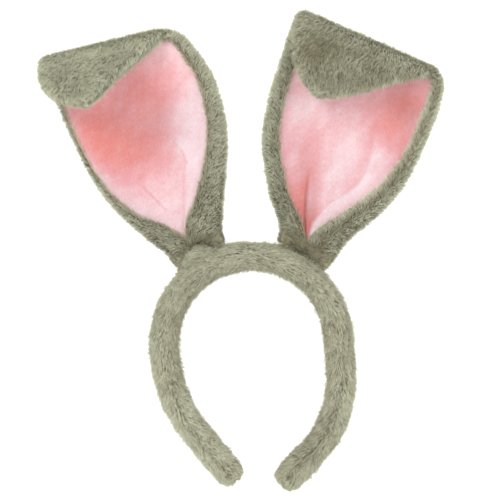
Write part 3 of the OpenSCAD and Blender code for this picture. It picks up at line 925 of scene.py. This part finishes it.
def build_lining(ear):
    """Velvet sheet tucked under both rims, with its soft nap as real relief."""
    left, right = (np.maximum(rim - LINING_TUCK, ear.wall + 0.2 * MM) for rim in ear.rims)
    span = (ear.width - left - right)[:, None]
    f = np.linspace(0, 1, int(LINING_W / LINING_STEP))
    across = left[:, None] + span * f
    flat = ear.place(across, 0.1 * MM)
    points = flat.reshape(-1, 3)

    def ripple(size, seed, count=7):
        return waves(points, size, seed, count).reshape(across.shape)

    height, painted_salmon_shade, shade = (values.reshape(across.shape) for values in folds(ear, points))
    past = ear.past[:, None]
    on_roll = smooth((past + ear.roll_outer * math.pi / 2) / (3 * MM))
    on_tip = smooth(past / (8 * MM))
    painted_salmon_shade = painted_salmon_shade * (1 - 0.7 * on_roll) * (1 - on_tip) + 0.34 * on_tip
    shade = shade + (0.5 - shade) * on_roll
    outer = across - ear.rims[0][:, None]
    if ear.side == "right":
        outer = (ear.width - ear.rims[1])[:, None] - across
    painted_salmon_shade *= 1 - 0.75 * np.exp(-np.maximum(outer, 0) / (1.6 * MM))

    calm = smooth(np.minimum(f, 1 - f) * span / (4 * MM))
    from_edge = np.minimum(across, ear.width[:, None] - across)
    over_wire = 0.65 * MM * bell(from_edge - WIRE_INSET, 1.5 * MM)
    relief = 0.10 * MM * (ripple(2.4 * MM, 31, 9) + ripple(1.2 * MM, 32, 9))
    relief += (0.25 * MM * (1 + ripple(26 * MM, 33)) + height + over_wire) * calm
    out = ear.out[:, None]
    verts, quads = slab(flat - out * relief[..., None], flat + out * LINING_T)
    piece = new_object(ear.side + "_ear_velvet", verts, quads, VELVET)
    for key, values in (("painted_salmon_shade", painted_salmon_shade), ("shade", shade)):
        values = np.concatenate([values, values[:, ::-1]], 1).ravel().astype(np.float32)
        piece.data.attributes.new(key, "FLOAT", "POINT").data.foreach_set("value", values)
    weights = ear.weights(verts.reshape(len(across), -1, 3)).ravel()
    set_blend(piece, *ear.bodies, weights, *ear.ends)
    return piece, ear_area(ear, 2 * (LINING_TUCK - float(np.mean(ear.rims))))


def slab(front, back):
    """Points and quads of a closed layer between two grids of the same size."""
    rows, columns = front.shape[:2]
    verts = np.concatenate([front, back[:, ::-1]], 1).reshape(-1, 3)
    j = np.arange(columns - 1)
    other = 2 * columns - 1
    first = np.stack([j + 1, j, other - j, other - j - 1], 1)
    last = first[:, [1, 0, 3, 2]] + (rows - 1) * 2 * columns
    return verts, np.concatenate([tube_quads(rows, 2 * columns), first, last])


def beside(line, x, z, fade):
    """Distance to the right of a line of [x, z] points, and how present the line is there;
    it fades out over its last stretch."""
    line = np.asarray(line, float)
    at = np.interp(z, line[:, 1], line[:, 0])
    slope = np.gradient(line[:, 0], line[:, 1])
    square = 1 / np.sqrt(1 + np.interp(z, line[:, 1], slope) ** 2)
    present = smooth((z - line[0, 1] + 5) / 5) * smooth((line[-1, 1] + 6 - z) / fade)
    return (x - at) * square, present


def spot(x, z, centre, size, turn=0):
    """Soft oval spot, 1 at its centre, turned by turn degrees."""
    c, s = math.cos(math.radians(turn)), math.sin(math.radians(turn))
    across = c * (x - centre[0]) - s * (z - centre[1])
    up = s * (x - centre[0]) + c * (z - centre[1])
    return bell(across, size[0]) * bell(up, size[1])

def spots(table, x, z):
    return sum(strength * spot(x, z, *place) for strength, *place in table)

def ledge(distance, soft, rise, fade, dip, dip_width):
    """Height of a fold that steps up across its line and sinks back beyond it."""
    up = smooth(distance / soft + 0.5) * np.exp(-np.maximum(distance, 0) / fade)
    return rise * up - dip * bell(distance, dip_width)


def left_folds(lines, x, z):
    """Height, salmon and dimness of the left lining, whose salmon is painted shade below the flap and
    in its creases and fades as painted light where the lining faces the light.
    """
    wall, on_wall = beside(lines["wall"], x, z, 14)
    tuck, on_tuck = beside(lines["tuck"], x, z, 14)
    height = on_wall * ledge(wall, 1.6, 1.1, 7, 0.5, 0.8)
    height += on_tuck * ledge(tuck, 1.4, 0.8, 6, 0.3, 0.8)
    # Painted shade: salmon below the flap, up under its top, and in the spots of the table.
    salmon_flap_shade = spot(x, z, (-98, 137), (36, 24), 42)
    painted_salmon_shade = 0.12 + 0.9 * salmon_flap_shade + 0.7 * spot(x, z, (-72, 168), (30, 26)) * (1 - salmon_flap_shade)
    painted_salmon_shade += spots(lines["painted_salmon_spots"], x, z)
    # Painted light: paler toward the top right and right of the wall's line; painted shade: salmon
    # along the wall's and the tuck's creases.
    pale = smooth((x + 64 - 0.9 * np.maximum(z - 160, 0)) / 26) * smooth((z - 112) / 20)
    painted_salmon_shade *= (1 - 0.75 * pale) * (1 - 0.8 * on_wall * smooth(wall / 1.6 + 0.5))
    painted_salmon_shade += 0.12 * on_wall * bell(wall, 1.3) + 0.14 * on_tuck * bell(tuck, 1.2)
    # Painted light: paler toward the low left edge.
    from_low_edge = (x + 104) * 0.62 + (z - 106) * 0.78
    return height, painted_salmon_shade * (0.25 + 0.75 * smooth((from_low_edge + 2) / 18)), 0

def right_folds(lines, x, z):
    """Height, salmon and dimness of the right lining: painted salmon shade in and beside its deep
    valley, a painted highlight that keeps its ridge pale, and painted dimness overall and in the
    valley's crease.
    """
    wall, on_wall = beside(lines["wall"], x, z, 26)
    valley, on_valley = beside(lines["valley"], x, z, 34)
    step = smooth(wall / 3 + 0.5)
    beyond = smooth(valley / 1.6 + 0.5)
    height = on_wall * ledge(wall, 3, 1.8, 11, 0.3, 1.3)
    height += on_valley * (0.9 * np.exp(-np.abs(valley - 4) / 5) - 1.4 * bell(valley, 1))
    # Painted shade: salmon left of the valley, in its crease, and in the low pocket between valley and
    # wall.
    low = beyond * (1 - step) * smooth((98 - z) / 26)
    painted_salmon_shade = 0.38 + on_valley * (0.56 * (1 - beyond) + 0.8 * low + 0.16 * bell(valley, 1.2))
    painted_salmon_shade += spots(lines["painted_salmon_spots"], x, z)
    # Painted light: the ridge beyond the wall's line is kept pale; further right the salmon comes back.
    ridge = on_wall * step * np.exp(-np.maximum(wall - 3, 0) / 10)
    painted_salmon_shade = painted_salmon_shade * (1 - 0.95 * ridge) + 0.3 * on_wall * smooth((wall - 12) / 14)
    # Painted shade: the whole lining a little dimmer, and darker along the valley's crease.
    return height, painted_salmon_shade, 0.14 + 0.7 * on_valley * bell(valley, 0.9)

def folds(ear, points):
    """Height of the lining's folds, strength of its painted salmon shade, and its painted lightness
    round 0.5.
    """
    x, z = points[:, 0] / MM, points[:, 2] / MM
    lines = ear.spec["folds"]
    height, painted_salmon_shade, painted_shade = (left_folds if ear.side == "left" else right_folds)(lines, x, z)
    flap = np.array(lines["flap"], float)
    # Painted light: the lining is lightened just below the flap, against the flap's shadow.
    painted_light_under_flap = np.exp(-np.maximum(np.interp(x, flap[:, 0], flap[:, 1]) - z, 0) / 11)
    painted_salmon_shade = painted_salmon_shade + 0.05 * (waves(points, 7 * MM, 41) + waves(points, 2.5 * MM, 42))
    shade = 0.5 + 0.42 * painted_light_under_flap - 0.4 * (painted_shade + spots(lines["painted_shade"], x, z))
    return height * MM, np.clip(painted_salmon_shade, 0, 1), np.clip(shade, 0, 1)


def tube_along(path, radius, sides=8):
    """Ring points round a path of points."""
    ahead = unit(np.gradient(path, axis=0))
    side = unit(np.cross(ahead, np.array([0.05, 1, 0.02])))
    lift = np.cross(side, ahead)
    turn = np.linspace(0, 2 * math.pi, sides, endpoint=False)
    ring = np.cos(turn)[None, :, None] * side[:, None] + np.sin(turn)[None, :, None] * lift[:, None]
    return path[:, None] + radius * ring


def build_edge_tube(ear, name, left, right, depth, rows, radius, material):
    """Tube along both sides of an ear, at distances left and right across. It follows rows on
    the left, and then the same rows back on the right."""
    sides = ear.place(np.stack([left, right], 1), depth)
    weights = ear.weights(np.stack([ear.a, ear.b], 1))
    path, weight = (np.concatenate([both[rows, 0], both[rows[::-1], 1]])
                    for both in (sides, weights))
    rings = tube_along(path, radius)
    count, columns = rings.shape[:2]
    piece = new_object(ear.side + name, rings.reshape(-1, 3), tube_quads(count, columns), material,
                       end_caps(count, columns))
    set_blend(piece, *ear.bodies, np.repeat(weight, columns), *ear.ends)
    return piece


def build_piping(ear):
    """Thin pale cord in the seam between the lining and the rims, joined at the foot."""
    left, right = ear.rims[0] + 0.1 * MM, ear.width - ear.rims[1] - 0.1 * MM
    start = int(np.argmax(ear.width - ear.rims[0] - ear.rims[1] > 1.5 * MM))
    rows = np.arange(start, len(left))[::-1]
    return build_edge_tube(ear, "_ear_piping_cord", left, right, -0.55 * MM, rows, PIPING_R,
                           PIPING)


def build_wire(ear):
    """Wire inside the rims, up one side, across near the tip and down the other side."""
    rows = np.flatnonzero(ear.width > 2 * WIRE_INSET + 3 * MM)
    inset = np.full_like(ear.width, WIRE_INSET)
    return build_edge_tube(ear, "_ear_wire_loop", inset, ear.width - inset, WIRE_DEPTH, rows,
                           WIRE_R, CAD_MATERIALS["wire_steel"])


def build_stiffener(ear):
    """Stiff sheet between the fur and the lining, which bends with them."""
    inset = 1.5 * ear.wall
    across = inset[:, None] + (ear.width - 2 * inset)[:, None] * np.linspace(0, 1, 24)
    keep = ear.width > 14 * MM
    front, back = (ear.place(across, depth) for depth in STIFFENER_D)
    verts, quads = slab(front[keep], back[keep])
    weights = np.concatenate([ear.weights(front), ear.weights(back)[:, ::-1]], 1)[keep]
    piece = new_object(ear.side + "_ear_stiff_sheet", verts, quads,
                       CAD_MATERIALS["stiffener_fabric"])
    set_blend(piece, *ear.bodies, weights.ravel(), *ear.ends)
    return piece, ear_area(ear, -2 * float(np.mean(inset)))


def build_neck(ear, seed):
    """Gathered foot of the ear, from the band's crest up into the ear."""
    levels = np.linspace(64.5, 80, 16) * MM
    t = np.linspace(0, 1, 16)
    inner = 1 if ear.side == "left" else -1
    half = {side: (15.5 + (flare - 0.5) * smooth(t)) * MM
            for side, flare in zip((inner, -inner), ear.spec["feet"])}
    half_d = 1.5 * MM + 7.0 * MM * (1 - smooth((levels - 68 * MM) / (8.5 * MM)))
    turn = np.linspace(0, 2 * math.pi, 48, endpoint=False)
    c, s = np.cos(turn), np.sin(turn)
    reach = np.where(c[None, :] > 0, half[1][:, None], half[-1][:, None])
    x = np.sign(c) * np.abs(c) ** 0.5 * reach
    pleats = 1 + 0.10 * np.sin(9 * turn) * (1 - t)[:, None]
    y = np.sign(s) * np.abs(s) ** 0.8 * half_d[:, None] * pleats + ear.root[1]
    grid = (x[..., None] * ear.root_along + y[..., None] * DEPTH
            + levels[:, None, None] * ear.root_up)
    rows, columns = grid.shape[:2]
    verts = grid.reshape(-1, 3)
    quads = tube_quads(rows, columns)
    weight = np.repeat(smooth((levels - 69 * MM) / (12 * MM)), columns)
    bodies = ("crown", ear.side + "_ear")
    ends = (ear.root - 5 * MM * ear.root_up, ear.root + 6 * MM * ear.root_up)
    name = ear.side + "_neck"
    neck = new_object(name + "_cloth", verts, quads, BACKING_CLOTH,
                      end_caps(rows, columns))
    set_blend(neck, *bodies, weight, *ends)
    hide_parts(ear.side + "_ear_root")

    # The band's own fur climbs over the front of the left foot; elsewhere the ear's fur, darkened as
    # painted shade at the foot, hangs down over the band as a fringe and rises from there into the ear
    outward = unit(verts - np.repeat(grid.mean(1), columns, 0))
    radius = np.linalg.norm(verts[:, [0, 2]], axis=1)
    from_top = np.degrees(np.arctan2(np.abs(verts[:, 0]), verts[:, 2]))
    border = CROWN_R + BAND_T + ear.spec["climb"] * MM * bell(from_top - 30, 9)
    in_front = verts[:, 1] < ear.root[1]
    on_band = smooth((border - radius) / (1.5 * MM) + 0.5) * in_front
    rise = 1 - 2.2 * np.exp(-np.maximum(radius - border, 0) / (2.5 * MM))
    ear_nap = rise[:, None] * ear.root_up + 0.6 * outward
    along_band = unit(np.stack([-inner * verts[:, 2], 0 * radius, inner * verts[:, 0]], 1))
    level = np.repeat(levels, columns)
    density = smooth((level - 64 * MM) / (2 * MM))
    density *= 1 - in_front * smooth((level - 75 * MM) / (3 * MM))
    skin = Skin(verts, quads, density, ear_nap + (along_band - ear_nap) * on_band[:, None],
                weight=weight, pile=np.full(len(verts), 0.85), lean=0.8 + 0.2 * on_band,
                tone=ear.spec["foot_shade"] * (1 - on_band))
    grow_fur(name + "_fur", skin, NECK_STRANDS, seed, bodies, ends, 0.5)


def build_ear(side, seed):
    ear = Ear(side, EAR_STEP)
    panel, coats, fur_area = build_ear_fur(ear, seed)
    piping = build_piping(ear)
    wire = build_wire(ear)
    stiffener, stiffener_area = build_stiffener(ear)
    lining, lining_area = build_lining(Ear(side, LINING_STEP))
    for piece, node in ((panel, "back"), (piping, "piping"), (wire, "wire"),
                        (stiffener, "stiffener"), (lining, "lining")):
        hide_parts(f"{side}_ear_{node}", f"{side}_tip_{node}")
    build_neck(ear, seed + 7)


# ---- Seam on the back of the band ----

def build_seam(side):
    """Short stitches across the closing seam, along the middle of the band's back."""
    place, outward, length, _ = arm_path(side)
    at_joint = joint_length(side, place, length)
    back = BAND_D / 2 - BACKING + 0.25 * MM
    reach = np.linspace(-1, 1, 7)
    verts, quads, weights = [], [], []
    for s in np.arange(4 * MM, length[-1] - 16 * MM, 4.5 * MM):
        x, z, *out = (np.interp(s, length, values) for values in (*place.T, *outward.T))
        out = unit(np.array(out))
        slant = (1.5 * out + 0.6 * np.array([-out[1], out[0]])) * MM
        path = np.stack([x + slant[0] * reach, back + 0.35 * MM * (1 - reach ** 2),
                         z + slant[1] * reach], 1)
        ring = tube_along(path, 0.28 * MM, 6).reshape(-1, 3)
        quads.append(tube_quads(7, 6) + len(ring) * len(verts))
        verts.append(ring)
        weights.append(np.full(len(ring), past_joint(s, at_joint)))
    piece = new_object(side + "_seam_stitches", np.concatenate(verts), np.concatenate(quads),
                       CAD_MATERIALS["sewing_thread"])
    set_blend(piece, "crown", side + "_arm", np.concatenate(weights), *arm_ends(place))
    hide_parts("seam_crown", "seam_" + side + "_arm")


# ---- Stage ----

def build_stage():
    """White floor that sweeps up into a wall all round, and soft lights."""
    floor_z = CAD_BOX[0][2] - FLOOR_GAP
    profile = [(0.5, 0.0), (1.5, 0.0), (FLOOR_R, 0.0)]
    for k in range(1, 9):
        angle = k * math.pi / 16
        profile.append((FLOOR_R + SWEEP_R * math.sin(angle), SWEEP_R * (1 - math.cos(angle))))
    profile.append((FLOOR_R + SWEEP_R, BACKDROP_H))
    turns = 64
    verts = [(r * math.cos(2 * math.pi * j / turns), r * math.sin(2 * math.pi * j / turns), floor_z + h)
             for r, h in profile for j in range(turns)]
    mesh = bpy.data.meshes.new("backdrop")
    quads = [list(map(int, q)) for q in tube_quads(len(profile), turns)]
    mesh.from_pydata(verts, [], quads + [list(range(turns))[::-1]])
    mesh.polygons.foreach_set("use_smooth", [True] * len(mesh.polygons))
    material, _, shader = new_material("backdrop_paper", 0.9)
    shader.inputs["Base Color"].default_value = (0.95, 0.95, 0.95, 1)
    shader.inputs["Emission Color"].default_value = (1, 1, 1, 1)
    shader.inputs["Emission Strength"].default_value = 0.4
    mesh.materials.append(material)
    backdrop = bpy.data.objects.new("backdrop", mesh)
    bpy.context.scene.collection.objects.link(backdrop)

    world = bpy.data.worlds.new("studio")
    world.use_nodes = True
    world.node_tree.nodes["Background"].inputs[0].default_value = (1, 1, 1, 1)
    world.node_tree.nodes["Background"].inputs[1].default_value = 0.55
    bpy.context.scene.world = world
    add_light("key", (-1.3, -1.7, 1.5), 1.2, 25)
    add_light("fill", (1.6, -1.6, 0.7), 1.6, 5)
    add_light("back", (0.6, 1.9, 1.4), 1.2, 9)


def add_light(name, place, size, watts):
    light = bpy.data.lights.new(name, "AREA")
    light.shape = "DISK"
    light.size = size
    light.energy = watts
    lamp = bpy.data.objects.new(name, light)
    aim = np.array([0, 0, VIEW_CENTRE[1]]) - np.array(place)
    lamp.location = place
    lamp.rotation_euler = Vector(aim).to_track_quat("-Z", "Y").to_euler()
    bpy.context.scene.collection.objects.link(lamp)


def build_camera():
    data = bpy.data.cameras.new("camera")
    data.sensor_width = SENSOR
    data.lens = SENSOR * CAMERA_DISTANCE / FRAME_W
    data.clip_end = 50
    camera = bpy.data.objects.new("camera", data)
    camera.location = (VIEW_CENTRE[0], -CAMERA_DISTANCE, VIEW_CENTRE[1])
    camera.rotation_euler = (math.pi / 2, 0, 0)
    bpy.context.scene.collection.objects.link(camera)
    bpy.context.scene.camera = camera


build_camera()
build_stage()
bpy.context.scene.view_settings.view_transform = "Standard"
dress_cad_nodes()
for number, side in enumerate(("left", "right")):
    build_band_half(side, 100 + 10 * number)
    build_seam(side)
    build_ear(side, 200 + 20 * number)
